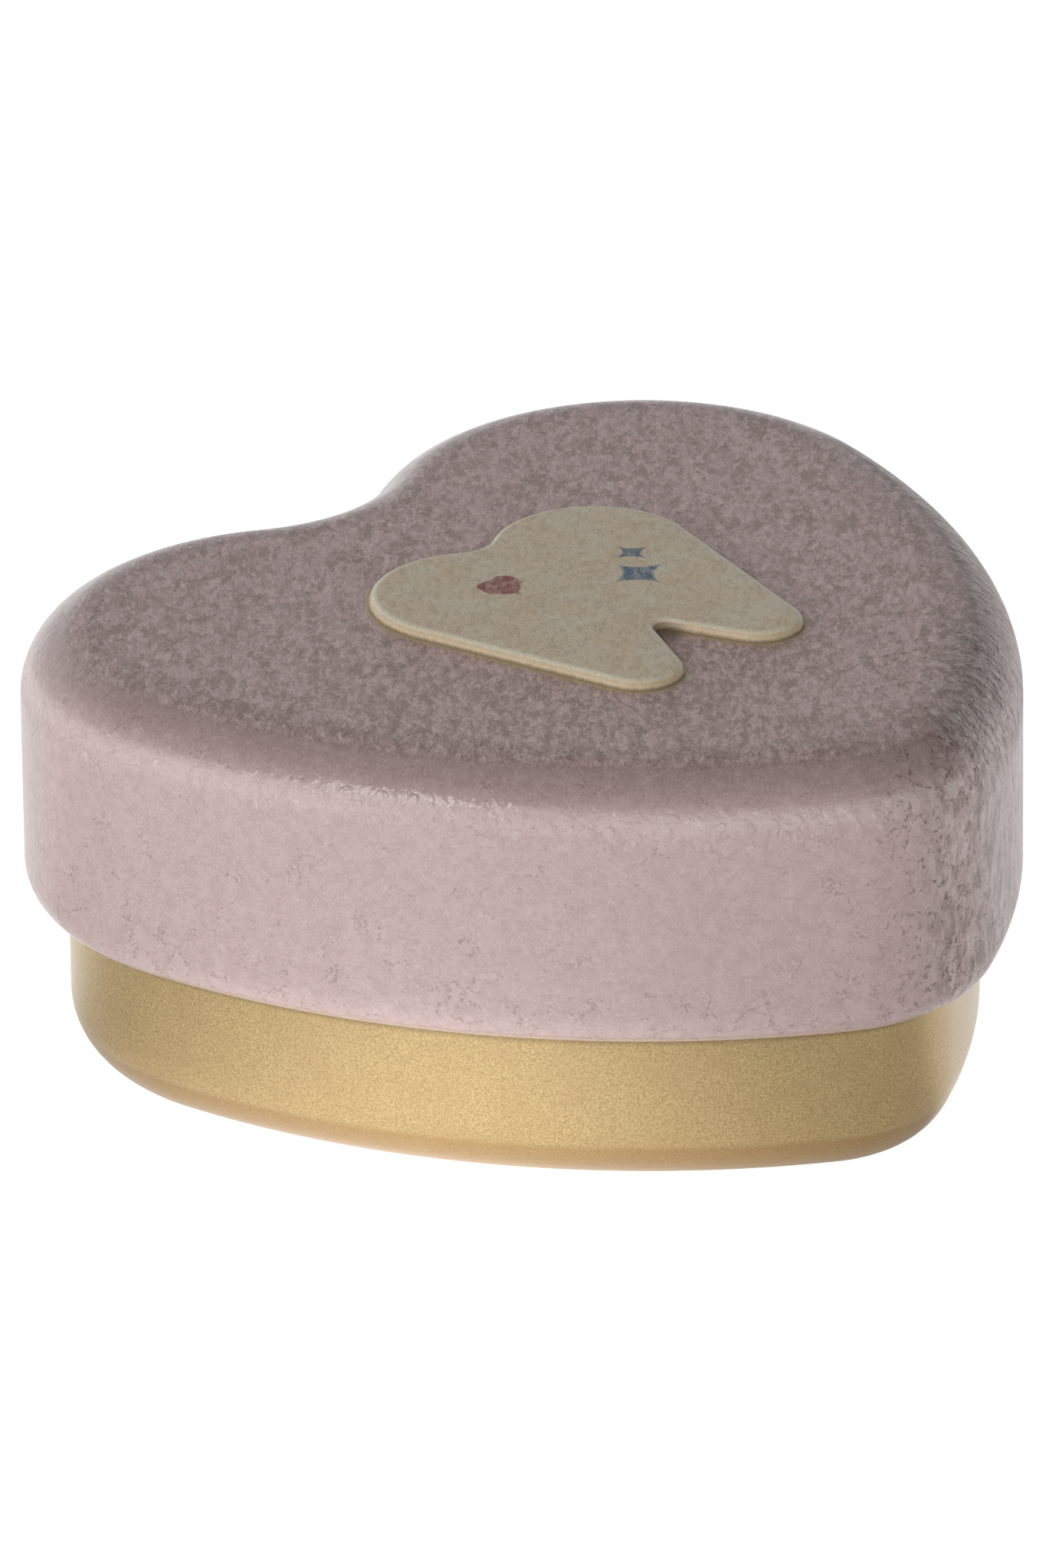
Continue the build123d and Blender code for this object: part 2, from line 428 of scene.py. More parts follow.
def lid_rings():
    """Rings over tooth, panel and skirt, then back inside, and how many end each of the first three."""
    outer, inner = lid_section()
    edge = [(inset, tooth_top - fall) for inset, fall in edge_arc(TOOTH_EDGE_RADIUS, EDGE_STEPS)]
    boss = shrunk(tooth, tooth_in, TOOTH_EDGE_RADIUS, tooth_top, TOOTH_SHARES)
    boss += rings_of(tooth, tooth_in, edge + [(0, lid_top)])
    skirt = rings_of(heart, heart_in, split_runs(outer, OUTSIDE_STEP))
    flare = ring(tooth, tooth_in, -FLARE, lid_top)
    panel = [flare] + blended(flare, skirt[0], PANEL_RINGS)
    ceiling = tooth_top - SHEET
    hollow = rings_of(tooth, tooth_in, [(SHEET, lid_top - SHEET), (SHEET, ceiling)])
    inside = rings_of(heart, heart_in, split_runs(inner, INSIDE_STEP)[::-1])
    inside += blended(inside[-1], hollow[0], CEILING_RINGS) + hollow
    inside += shrunk(tooth, tooth_in, SHEET, ceiling, TOOTH_SHARES[::-1])
    ends = np.cumsum([len(boss), len(panel), len(skirt)])
    poles = (*CROWN_CENTRE, tooth_top), (*CROWN_CENTRE, ceiling)
    return ends, (boss + panel + skirt + inside, *poles)


(tooth_end, panel_end, skirt_end), lid_grid = lid_rings()
lid = skin("lid_lacquered", *lid_grid)
mark(lid, "by_tooth", 0, tooth_end)
mark(lid, "by_border", panel_end, skirt_end)
mark(lid, "outside", 0, skirt_end)
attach(lid, "lid")
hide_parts("lid_shell")

# %% [markdown]
# ## The enamel of the tooth
#
# Enamel is laid thick over the raised tooth. It rounds the edge a little more, swells in the middle and
# runs out in a thin flare where it meets the lacquer. It is a skin of its own, with an underside that
# lies on the sheet.

# %% The enamel's surface
CROWNING = 0.05
ENAMEL_STEPS = 12
DOME_SHARES = np.linspace(0.1, 1, 14)[:-1]

crown = enamel_high[2] - CROWNING


def enamel_rings():
    """A domed skin: level rings rise by the crowning times one less the square of their share."""
    grown = TOOTH_EDGE_RADIUS + ENAMEL
    outer = [(inset - ENAMEL, crown - fall) for inset, fall in edge_arc(grown, ENAMEL_STEPS)]
    outer.append((-ENAMEL, lid_top))
    under = [(inset, tooth_top - fall) for inset, fall in edge_arc(TOOTH_EDGE_RADIUS, EDGE_STEPS)]
    under.append((0, lid_top))
    rings = shrunk(tooth, tooth_in, TOOTH_EDGE_RADIUS, crown, DOME_SHARES)
    for share, level in zip(DOME_SHARES, rings):
        level[:, 2] += CROWNING * (1 - share**2)
    rings += rings_of(tooth, tooth_in, outer + under[::-1])
    rings += shrunk(tooth, tooth_in, TOOTH_EDGE_RADIUS, tooth_top, TOOTH_SHARES[::-1])
    return rings, (*CROWN_CENTRE, crown + CROWNING), (*CROWN_CENTRE, tooth_top)


enamel = skin("tooth_filled", *enamel_rings())
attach(enamel, "lid")
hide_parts("tooth_enamel")

# %% [markdown]
# ## The base
#
# The base is a plain drawn cup with a large round bottom edge. Its upper edge is curled inwards, and the
# lid's shoulder sits on that curl.

# %% The base's surface
BASE_EDGE_RADIUS = 3.85
CURL_RADIUS = 0.65
CURL_LEG = 0.25
BOTTOM_SHARES = (0.15, 0.4, 0.65, 0.85)


def base_rings():
    """Rings out over the bottom, up the wall and round the curl, then back inside to the middle."""
    wall = base_high[2] - CURL_RADIUS - BASE_EDGE_RADIUS
    flat = BASE_INSET + BASE_EDGE_RADIUS
    bends = [(0, BASE_EDGE_RADIUS, 90), (wall, CURL_RADIUS, 180), (CURL_LEG, 0, 0)]
    outer, inner = bent_section((flat, 0), OUTWARDS, RIGHT, bends)
    outside = shrunk(heart, heart_in, flat, 0, BOTTOM_SHARES)
    outside += rings_of(heart, heart_in, split_runs(outer, OUTSIDE_STEP))
    inside = rings_of(heart, heart_in, split_runs(inner, INSIDE_STEP)[::-1])
    inside += shrunk(heart, heart_in, flat, SHEET, BOTTOM_SHARES[::-1])
    rings = [level[::-1] for level in outside + inside]
    return len(outside), (rings, (*CROWN_CENTRE, 0), (*CROWN_CENTRE, SHEET))


wall_end, base_grid = base_rings()
base = skin("base_gilded", *base_grid)
mark(base, "outside", 0, wall_end)
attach(base, "base")
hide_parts("base_shell")

# %% [markdown]
# ## Shader maths as Python
#
# A material is a graph of small sums. Wiring each one by hand hides what it means, so one small class
# wraps a socket: its operators add Math nodes, and one method adds any other node.

# %% A socket that can be added and multiplied
class Value:
    """A shader socket that takes part in Python expressions."""

    def __init__(self, tree, socket):
        self.tree, self.socket = tree, socket

    def node(self, kind, settings=None, out=0, **sockets):
        """Adds a node with its settings first, then its socket values or links, and wraps its output."""
        made = self.tree.nodes.new(kind)
        for name, value in (settings or {}).items():
            setattr(made, name, value)
        for name, value in sockets.items():
            place = made.inputs[int(name[1:])] if name[1:].isdigit() else made.inputs[name.replace("_", " ")]
            if isinstance(value, Value):
                self.tree.links.new(value.socket, place)
            else:
                place.default_value = value
        return Value(self.tree, made.outputs[out])

    def maths(self, operation, *values):
        sockets = {f"i{k}": value for k, value in enumerate(values)}
        return self.node("ShaderNodeMath", {"operation": operation}, **sockets)

    def __add__(self, other):
        return self.maths("ADD", self, other)

    def __sub__(self, other):
        return self.maths("SUBTRACT", self, other)

    def __rsub__(self, other):
        return self.maths("SUBTRACT", other, self)

    def __mul__(self, other):
        return self.maths("MULTIPLY", self, other)

    def __truediv__(self, other):
        return self.maths("DIVIDE", self, other)

    def __pow__(self, other):
        return self.maths("POWER", self, other)

    def __abs__(self):
        return self.maths("ABSOLUTE", self)

    __radd__, __rmul__ = __add__, __mul__

    def or_more(self, other):
        """The larger of two numbers."""
        return self.maths("MAXIMUM", self, other)

    def ramp(self, low, high):
        """0 below low, 1 above high and a smooth step between them."""
        settings = {"interpolation_type": "SMOOTHSTEP"}
        return self.node("ShaderNodeMapRange", settings, Value=self, From_Min=low, From_Max=high)

    def part(self, axis):
        """One number of a vector: 0, 1 or 2 for x, y or z."""
        return self.node("ShaderNodeSeparateXYZ", out=axis, Vector=self)

    def stretched(self, x, y, z):
        """A vector times a number along each axis."""
        return self.node("ShaderNodeVectorMath", {"operation": "MULTIPLY"}, i0=self, i1=(x, y, z))

    def moved(self, other):
        """A vector plus another vector."""
        return self.node("ShaderNodeVectorMath", {"operation": "ADD"}, i0=self, i1=other)

    def turned(self, degrees, stretch):
        """A vector turned about z, with its pattern drawn out along the turned y axis."""
        settings = {"vector_type": "TEXTURE"}
        turn, scale = (0, 0, math.radians(degrees)), (1, stretch, 1)
        return self.node("ShaderNodeMapping", settings, Vector=self, Rotation=turn, Scale=scale)

    def noise(self, per_mm, detail=3, roughness=0.55, colour=False):
        """Cloudy noise of so many features per millimetre, from 0 to 1, as a number or as a vector."""
        numbers = {"Scale": per_mm, "Detail": detail, "Roughness": roughness}
        return self.node("ShaderNodeTexNoise", out=1 if colour else 0, Vector=self, **numbers)

    def cells(self, per_mm, feature="F1"):
        """Distance to the nearest cell's centre or edge, in cells of so many per millimetre."""
        return self.node("ShaderNodeTexVoronoi", {"feature": feature}, Vector=self, Scale=per_mm)

    def cracks(self, per_mm, width):
        """1 on the edges between cells, falling to 0 at a width that is a share of a cell."""
        return 1 - self.cells(per_mm, "DISTANCE_TO_EDGE").ramp(0, width)

    def tones(self, per_mm):
        """One random number for each cell, so that a cell is a flake of one tone."""
        return self.node("ShaderNodeTexVoronoi", out=1, Vector=self, Scale=per_mm).part(0)

    def shaken(self, by, x, y, z):
        """A vector moved by a noise vector times a number along each axis, so that patterns wobble."""
        return self.moved(by.stretched(x, y, z))

    def marked(self, name):
        """The number that was marked on the piece's points under a name."""
        return self.node("ShaderNodeAttribute", {"attribute_name": name}, out=2)

    def mixed(self, first, second):
        """A colour that goes from the first to the second as this value goes from 0 to 1."""
        settings = {"data_type": "RGBA"}
        return self.node("ShaderNodeMix", settings, out=2, i0=self, i6=first, i7=second)


# %% Colours and layers
def rgb(red, green, blue):
    """A colour picked on screen, from 0 to 255, as linear light: a division if dark, else a power of 2.4."""
    screen = np.array([red, green, blue]) / 255
    linear = np.where(screen <= 0.04045, screen / 12.92, ((screen + 0.055) / 1.055) ** 2.4)
    return (*linear.tolist(), 1.0)


def layered(colour, layers):
    """A colour after each layer of paint: where, how strongly from 0 to 1, and its colour on screen."""
    for where, strength, paint in layers:
        colour = (where * strength).mixed(colour, rgb(*paint))
    return colour


print("middle grey on screen is", round(rgb(128, 128, 128)[0], 3), "in linear light")


# %% Distances on the level
def level_distance(place, centre):
    """How far a place is from a centre, whatever its height: the root of the sum of the two squares."""
    offset = place.moved((-centre[0], -centre[1], 0)).stretched(1, 1, 0)
    return offset.node("ShaderNodeVectorMath", {"operation": "LENGTH"}, out=1, i0=offset)


def along(place, direction):
    """How far a place lies in a level direction: x times its x plus y times its y."""
    return place.part(0) * direction[0] + place.part(1) * direction[1]


# %% Start and end of a material
def begin(name):
    """A new material, and the place on the piece in millimetres: Object coordinates times a thousand."""
    material = bpy.data.materials.new(name)
    material.use_nodes = True
    coordinates = material.node_tree.nodes.new("ShaderNodeTexCoord")
    place = Value(material.node_tree, coordinates.outputs["Object"])
    return material, place.stretched(1 / MM, 1 / MM, 1 / MM)


def finish_with(material, height, depth, links, numbers=None):
    """Links what changes over the surface, and sets what doesn't as plain numbers on the shader."""
    tree = material.node_tree
    shader = next(node for node in tree.nodes if node.type == "BSDF_PRINCIPLED")
    for name, value in links.items():
        tree.links.new(value.socket, shader.inputs[name])
    bump = height.node("ShaderNodeBump", Height=height, Strength=1.0, Distance=depth * MM)
    tree.links.new(bump.socket, shader.inputs["Normal"])
    for name, value in (numbers or {}).items():
        shader.inputs[name].default_value = value
    print(f"{material.name}: {len(tree.nodes)} nodes behind", ", ".join(links), "and Normal")


# %% [markdown]
# ## Mauve lacquer
#
# The lid's lacquer is a dusty mauve with an olive-brown glaze wiped into it. On the panel the film is
# flaked, and the glaze lies in the hollows between the flakes, so the same numbers drive colour and
# relief. The wall is nearly plain, with fine suede tones, a few thin brown veins, and small round
# blisters on the shoulder. One noise alone looks like cloud, so each of these has its own scale.
#
# Gloss sits on the relief and not in a smooth clear coat, which breaks each highlight into crumbs. The
# relief is on the outside only, and the inside of the cap is plain lacquer.

# %% [markdown]
# ### Zones of the lid
#
# A mask says where a finish lies. Most zones of a pressed lid are stripes at one height, which could be
# painted by hand, but a smooth step on the height is exact and follows the whole outline. Painted light
# lies in a pale stripe low on the shoulder, painted shade in a darker ring round its top, and a painted
# highlight along the lower edge. Hands hold the lid by its tip and its far shoulder, so two more masks
# mark those.

# %% Stripes at one height
def over(z, low, high, level=lid_top):
    """0 lower than the first depth under a level, which is the panel's, and 1 higher than the second."""
    return z.ramp(level - low, level - high)


def stripe(z, bottom, top, level=lid_top):
    """1 between two edges, where an edge is a smooth step between two depths under a level."""
    return over(z, *bottom, level) * (1 - over(z, *top, level))


def near_rim(z, low, high):
    """1 lower than the first height above the lid's lower edge and 0 higher than the second."""
    return 1 - z.ramp(rim_height + low, rim_height + high)


# %% Zones by height
PANEL_EDGE = (0.5, 0)
SHOULDER = (4.4, 3.2), (2, 1.2)
PAINTED_LIGHT_STRIPE = (3.3, 2.4), (2.1, 1.5)
SHADE_BAND = (1.9, 0.9)
RIM_HIGHLIGHT = (0.2, 0.55)
LOW_WALL = (1, 7)
GRIMY_WALL = (0.5, 8)
FORK_SHADE = (0.4, 1.5)


def height_zones(place):
    """Masks of the outside, of steps and stripes at one height, and of painted shade in the tooth's fork."""
    z = place.part(2)
    outer = place.marked("outside")
    panel = over(z, *PANEL_EDGE) * outer
    return SimpleNamespace(
        outer=outer,
        panel=panel,
        wall=1 - panel,
        shoulder=stripe(z, *SHOULDER),
        # thin marks a stripe of painted light low on the shoulder
        thin=stripe(z, *PAINTED_LIGHT_STRIPE) * outer,
        # a ring of painted shade round the top of the shoulder
        shade_band=over(z, *SHADE_BAND) * place.marked("by_border"),
        # rim marks a painted highlight along the lid's lower edge
        rim=near_rim(z, *RIM_HIGHLIGHT),
        low=near_rim(z, *LOW_WALL),
        grimy=near_rim(z, *GRIMY_WALL),
        # notch marks painted shade in the tooth's fork
        notch=(1 - level_distance(place, FORK).ramp(*FORK_SHADE)) * panel,
    )


# %% Zones that hands wear
ACROSS = (0.73, -0.68)
AWAY = (0.68, 0.73)
WORN_CENTRE = (5.5, -22.5)
WORN_REACH = (8, 15)
WORN_FROM = (11.5, 16.5)
TIP_FROM = (15, 18)
FAR_ACROSS = (10, 14)
FAR_AWAY = (-16, -8)
FAR_SHOULDER = (5, 3.4), (0.35, 0.02)


def handled_zones(place, zone):
    """Adds worn and end near the tip, far on the far shoulder, and rough, the larger of end and far."""
    across = along(place, ACROSS)
    patch = 1 - level_distance(place, WORN_CENTRE).ramp(*WORN_REACH)
    zone.worn = patch * across.ramp(*WORN_FROM)
    zone.end = patch * across.ramp(*TIP_FROM)
    side = across.ramp(*FAR_ACROSS) * along(place, AWAY).ramp(*FAR_AWAY)
    zone.far = side * stripe(place.part(2), *FAR_SHOULDER) * zone.outer
    zone.rough = zone.end.or_more(zone.far)


# %% [markdown]
# ### Patterns of the lacquer
#
# Flakes, veins, cracks and blisters are each a noise or a set of cells. The pattern of the panel is drawn
# out along one direction, as a roller leaves it. Cells alone look like tiles, so their places are shaken
# by a finer noise first, and the flakes get ragged edges.

# %% Flakes of the panel
GRAIN_DIRECTION = -42.8
GRAIN_STRETCH = 2.3
CHIPS_PER_MM = 2.4


def flaked(rolled):
    """Flakes stand up where crumbs, clusters and chips add up to much, and glaze fills the valleys."""
    crumbs = rolled.noise(2.8, detail=4, roughness=0.7)
    clusters = rolled.noise(0.9, detail=3, roughness=0.6)
    channels = 1 - abs(rolled.noise(0.6, detail=4, roughness=0.65) - 0.5).ramp(0, 0.05)
    chips = rolled.shaken(rolled.noise(3, detail=4, roughness=0.7, colour=True), 1.2, 1.2, 0)
    tone = chips.tones(CHIPS_PER_MM)
    edges = chips.cracks(CHIPS_PER_MM, width=0.1) * clusters.ramp(0.35, 0.55)
    valleys = 1 - (0.52 * crumbs + 0.34 * clusters + 0.14 * tone - 0.05 * channels).ramp(0.36, 0.57)
    return SimpleNamespace(
        crumbs=crumbs,
        clusters=clusters,
        glaze=(0.66 * valleys).or_more(0.5 * edges),
        height=0.1 * clusters + 0.07 * crumbs + 0.02 * tone - 0.015 * edges,
    )


# %% Veins, cracks and dirt of the wall
VEINS_PER_MM = 0.8
CRACKS_PER_MM = 0.7
CRACK_WIDTH = 0.12


def aged(place, zone):
    """Thin lines between shaken cells: veins where a broad noise is high, and cracks in the worn zone."""
    swirl = place.shaken(place.noise(0.9, detail=3, roughness=0.6, colour=True), 1.5, 1.5, 1.5)
    clumps = place.noise(2.4, detail=4, roughness=0.7)
    broken = (place.noise(0.7, detail=3, roughness=0.6) + 0.06 * zone.low).ramp(0.55, 0.62)
    crumbly = place.noise(5, detail=3, roughness=0.65).ramp(0.4, 0.6)
    veins = swirl.cracks(VEINS_PER_MM, CRACK_WIDTH) * broken * crumbly
    crazed = zone.worn * swirl.cracks(CRACKS_PER_MM, CRACK_WIDTH) * clumps.ramp(0.42, 0.6) * crumbly
    grime = zone.worn * zone.grimy * clumps.ramp(0.5, 0.66) * crumbly
    return SimpleNamespace(veins=veins, crazed=crazed, dirt=crazed.or_more(grime))


# %% Blisters of the shoulder
BLISTERS_PER_MM = 1.2


def blistered(place, zone, clusters):
    """Discs round the centres of shaken cells, smaller where the cell's tone is high, and painted highlights
    on some.
    """
    bubbles = place.shaken(place.noise(0.8, detail=1, roughness=0.5, colour=True), 0.6, 0.6, 0.6)
    tone = bubbles.tones(BLISTERS_PER_MM)
    discs = zone.shoulder * (1 - (bubbles.cells(BLISTERS_PER_MM) + 0.3 * tone).ramp(0.48, 0.62))
    return SimpleNamespace(discs=discs, painted_glints=discs * tone.ramp(0.2, 0.8) * clusters.ramp(0.4, 0.55))


# %% Fine tones of the film
def toned(place, rolled):
    """Three noises: a fine rolled grain, a suede that goes all ways, and a mottle drawn out upwards."""
    return SimpleNamespace(
        grain=rolled.noise(8, detail=3, roughness=0.7),
        suede=place.noise(1.4, detail=5, roughness=0.7),
        mottle=place.stretched(1, 1, 0.4).noise(1.8, detail=4, roughness=0.65),
    )


# %% [markdown]
# ### Colour, relief and gloss of the lacquer
#
# A painter builds such a film in coats, and so does the colour here: a list of coats from the first to
# the last, each with a mask, a strength and a paint. The relief is a sum of heights in millimetres. It
# uses the same masks, so a flake that looks raised is raised.

# %% Coats of the lacquer
PANEL_MAUVE = (242, 208, 206)
WALL_MAUVE = (204, 179, 177)


def coats(place, zone, flakes, age, blisters, tone):
    """The mauve of panel and wall under fifteen coats, each as the mask, the strength and the paint."""
    panel, wall, rough = zone.panel, zone.wall, zone.rough
    grain, suede, mottle = tone.grain, tone.suede, tone.mottle
    on_panel = panel.ramp(0.4, 1)
    spilt = (place.marked("by_tooth") + 0.8 * (grain - 0.5)).ramp(0, 0.6)
    return layered(on_panel.mixed(rgb(*WALL_MAUVE), rgb(*PANEL_MAUVE)), [
        (panel * flakes.glaze + wall * 0.62 * age.veins, 1, (150, 122, 108)),  # glaze
        (zone.thin, 0.3, (246, 224, 220)),  # painted light on the lower shoulder
        (zone.shade_band, 0.27, (136, 110, 104)),  # painted shade round the top of the shoulder
        (1 - grain.ramp(0.34, 0.52), 0.16 + 0.1 * panel, (128, 106, 100)),  # dark grain
        (wall * (1 - suede.ramp(0.36, 0.54)), 0.16, (146, 122, 114)),  # dark suede
        (wall * suede.ramp(0.5, 0.66), 0.2, (224, 204, 204)),  # light suede
        (grain.ramp(0.52, 0.68), 0.2 + 0.15 * panel, (236, 214, 212)),  # light grain
        (on_panel * flakes.crumbs.ramp(0.5, 0.62), 0.45, (252, 232, 230)),  # tops of the flakes
        (rough * (1 - mottle.ramp(0.4, 0.52)), 0.55, (128, 108, 100)),  # dark mottle
        (rough * mottle.ramp(0.52, 0.64), 0.4, (236, 226, 222)),  # light mottle
        (age.dirt, 0.85, (92, 70, 58)),  # dirt in the cracks
        (zone.rim, 0.4, (250, 236, 232)),  # painted highlight on the lower edge
        (spilt, 0.9, (222, 203, 166)),  # enamel spilt round the tooth
        (zone.notch, 0.6, (96, 78, 68)),  # painted shade in the fork
        (blisters.painted_glints * (0.4 + 0.6 * suede.ramp(0.4, 0.6)), 0.32, (240, 226, 224)),  # painted highlights on blisters
    ])


# %% Relief of the lacquer
def relief(place, zone, flakes, age, blisters, tone):
    """Heights in millimetres, each a share of a mask or noise, added up and kept to the outside."""
    waves = 0.03 * place.noise(0.8, detail=2, roughness=0.5)
    ripples = 0.035 * place.noise(2.2, detail=2, roughness=0.5)
    folds = 0.16 * zone.rough * tone.mottle + 0.26 * zone.far * place.noise(0.9, detail=3, roughness=0.6)
    crumpled = 0.045 * zone.shoulder * place.noise(2.6, detail=3, roughness=0.6)
    lumps = 0.12 * zone.end * place.noise(1.6, detail=3, roughness=0.62)
    on_wall = zone.wall * (0.02 * blisters.discs + lumps)
    fine = (0.002 + 0.002 * zone.panel) * tone.grain - 0.006 * age.crazed
    return zone.outer * (zone.panel * flakes.height + on_wall + waves + ripples + folds + crumpled + fine)


# %% Lacquer of the lid
def lacquer():
    """Grain, panel and far shoulder each add to the roughness, and the worn tip has a trace of metal."""
    material, place = begin("mauve_lacquer")
    rolled = place.turned(GRAIN_DIRECTION, GRAIN_STRETCH)
    zone = height_zones(place)
    handled_zones(place, zone)
    flakes, tone = flaked(rolled), toned(place, rolled)
    film = place, zone, flakes, aged(place, zone), blistered(place, zone, flakes.clusters), tone
    links = {
        "Base Color": coats(*film),
        "Roughness": 0.13 + 0.1 * tone.grain + 0.15 * zone.panel + 0.2 * zone.far,
        "Metallic": 0.1 * zone.end,
    }
    numbers = {"IOR": 1.6, "Sheen Weight": 0.12, "Sheen Roughness": 0.3}
    finish_with(material, relief(*film), 1.0, links, numbers)
    return material


lid.data.materials.append(lacquer())


# %% [markdown]
# ## Gold lacquer
#
# The base is steel under a gold bronze lacquer. Flakes in it catch the light one by one, so the gold is
# a fine speckle about 0.1 mm across, and its gloss is satin under a thin clear coat. The wall meets the
# round bottom edge in the faint crease that the press leaves, and shade is painted in the bend below it.
# A darker line of painted shadow runs round the outside, under the lid's rim.

# %% Lacquer of the base
CREASE = 2.8
CREASE_STEP = (0.15, -0.15)
SHADED_BEND_EDGE = (0.4, -0.1)
# heights round the lid's rim between which a shadow is painted on the gold
RIM_SHADOW_FROM = (-0.8, -0.4)
RIM_SHADOW_TO = (0.2, 1)


def gold():
    """A speckle in two golds, with painted shade in the bend under the crease and a painted shadow under the
    rim.
    """
    material, place = begin("satin_gold")
    z = place.part(2)
    flakes = place.noise(9, detail=4, roughness=0.75)
    cloud = place.noise(0.5, detail=3, roughness=0.5)
    # painted shade darkens the bend under the crease
    bend = 1 - over(z, *SHADED_BEND_EDGE, CREASE)
    # a painted shadow under the lid's rim
    rim_shadow = (1 - near_rim(z, *RIM_SHADOW_FROM)) * near_rim(z, *RIM_SHADOW_TO) * place.marked("outside")
    colour = layered(flakes.ramp(0.36, 0.64).mixed(rgb(176, 150, 101), rgb(218, 191, 137)), [
        (cloud.ramp(0.35, 0.7), 0.3, (192, 160, 112)),  # broad clouds
        (bend, 0.55, (170, 132, 78)),  # painted shade in the round bottom edge
        (rim_shadow, 0.45, (98, 76, 48)),  # painted shadow under the rim
    ])
    speckle = 0.012 * place.noise(5, detail=4, roughness=0.7)
    waves = 0.01 * place.noise(1.5, detail=2, roughness=0.5)
    height = speckle + waves + 0.03 * over(z, *CREASE_STEP, CREASE)
    links = {"Base Color": colour, "Roughness": 0.3 + 0.08 * flakes}
    numbers = {"Metallic": 0.8, "Coat Weight": 0.6, "Coat Roughness": 0.15}
    finish_with(material, height, 1.0, links, numbers)
    return material


base.data.materials.append(gold())


# %% [markdown]
# ## Beige enamel
#
# The tooth's enamel is a warm beige with a sandy grain and faint clouds. A highlight is painted along
# its rounded lip, and shade is painted where it runs out on the lacquer and in the fork. A little heart
# and two sparkles are painted on it in a dull red and a dull blue, and the grain wears through them.

# %% Painted motifs
LITTLE_HEART = (-2.6, 5.0), 1.05
LARGE_SPARKLE = (3.6, 1.4), 1.8
SMALL_SPARKLE = (5.2, 3.6), 1.1


def at(place, centre, size):
    """Sideways and upward distance from a motif's centre, in units of its size."""
    return (place.part(0) - centre[0]) / size, (place.part(1) - centre[1]) / size


def little_heart(place, centre, size):
    """Inside where (x2 + y2 - 1) cubed is less than x2 times y cubed."""
    x, y = at(place, centre, size)
    ball = x * x + y * y - 1
    return 1 - (ball * ball * ball - x * x * y * y * y).ramp(-0.02, 0.05)


def sparkle(place, centre, size):
    """Inside where the two distances, each to the power of 0.6, add up to less than one."""
    x, y = at(place, centre, size)
    return 1 - (abs(x) ** 0.6 + abs(y) ** 0.6).ramp(0.9, 1.1)


# %% Enamel of the tooth
GRAIN_DEPTH = 0.02
FOOT_EDGE = (0.2, 0.1)
LIP_HIGHLIGHT = (0.16, 0.07), (0.006, -0.002)
GLOSS_EDGE = (0.1, 0)
CONTACT_SHADE_EDGE = (-0.06, -0.3)


def tooth_paint():
    """Cloudy beige under coats of grain, motifs, painted shade and a painted highlight, with a gloss that
    grows down the rounded lip.
    """
    material, place = begin("beige_enamel")
    z = place.part(2)
    rolled = place.turned(GRAIN_DIRECTION, GRAIN_STRETCH)
    grain, sand = rolled.noise(3.4, detail=5, roughness=0.75), rolled.noise(9, detail=3, roughness=0.7)
    foot = 1 - over(z, *FOOT_EDGE, crown)
    contact_shade = 1 - over(z + 0.2 * (grain - 0.5), *CONTACT_SHADE_EDGE)
    # lip marks a painted highlight along the rounded lip
    lip = stripe(z, *LIP_HIGHLIGHT, crown)
    notch = 1 - level_distance(place, FORK).ramp(*FORK_SHADE)
    wobble = place.shaken(place.noise(1.5, colour=True), 0.3, 0.3, 0)
    red = little_heart(wobble, *LITTLE_HEART)
    blue = sparkle(wobble, *LARGE_SPARKLE).or_more(sparkle(wobble, *SMALL_SPARKLE))
    left_on = 0.55 + 0.45 * (1 - grain.ramp(0.4, 0.62))
    clouds = place.noise(0.4, detail=4, roughness=0.6).ramp(0.36, 0.66)
    colour = layered(clouds.mixed(rgb(255, 240, 212), rgb(254, 230, 196)), [
        (1 - grain.ramp(0.3, 0.56), 0.42, (170, 148, 116)),  # dark grain
        (grain.ramp(0.45, 0.75), 0.6, (255, 247, 226)),  # light grain
        (1 - sand.ramp(0.34, 0.56), 0.24, (164, 144, 114)),  # sand
        (red, left_on, (158, 66, 66)),  # little heart
        (blue, left_on, (72, 116, 146)),  # sparkles
        (foot, 0.3 + 0.6 * sand.ramp(0.35, 0.6), (226, 203, 163)),  # thin foot
        (contact_shade, 0.7, (112, 94, 72)),  # painted shade where it meets the lacquer
        (lip, 0.25 + 0.65 * sand.ramp(0.38, 0.58), (255, 247, 222)),  # painted highlight on the rounded lip
        (notch * foot, 0.6, (112, 92, 74)),  # painted shade in the fork
    ])
    roughness = 0.26 + 0.15 * grain - 0.16 * (1 - over(z, *GLOSS_EDGE, crown))
    height = grain + 0.8 * place.noise(1, detail=2)
    finish_with(material, height, GRAIN_DEPTH, {"Base Color": colour, "Roughness": roughness})
    return material


enamel.data.materials.append(tooth_paint())

# %% [markdown]
# ## The studio
#
# The tin stands on a plain white floor under soft light. Satin gold mirrors what stands round it, so its
# tones are made by the floor: it glows evenly far off, faintly near the tin, and in one soft pool beside
# it. The camera sees floor and sky as plain white. Two large lamps light the walls from the front, a
# narrow one glints on the shoulder, and a dimmer sky lights the top.

# %% Directions in the studio
WHITE = (1, 1, 1, 1)


def direction_to(azimuth, elevation):
    """Unit vector at two angles: the first turns it from the front, and the second lifts it by its sine."""
    azimuth, elevation = math.radians(azimuth), math.radians(elevation)
    level = math.cos(elevation)
    return np.array([math.sin(azimuth) * level, -math.cos(azimuth) * level, math.sin(elevation)])


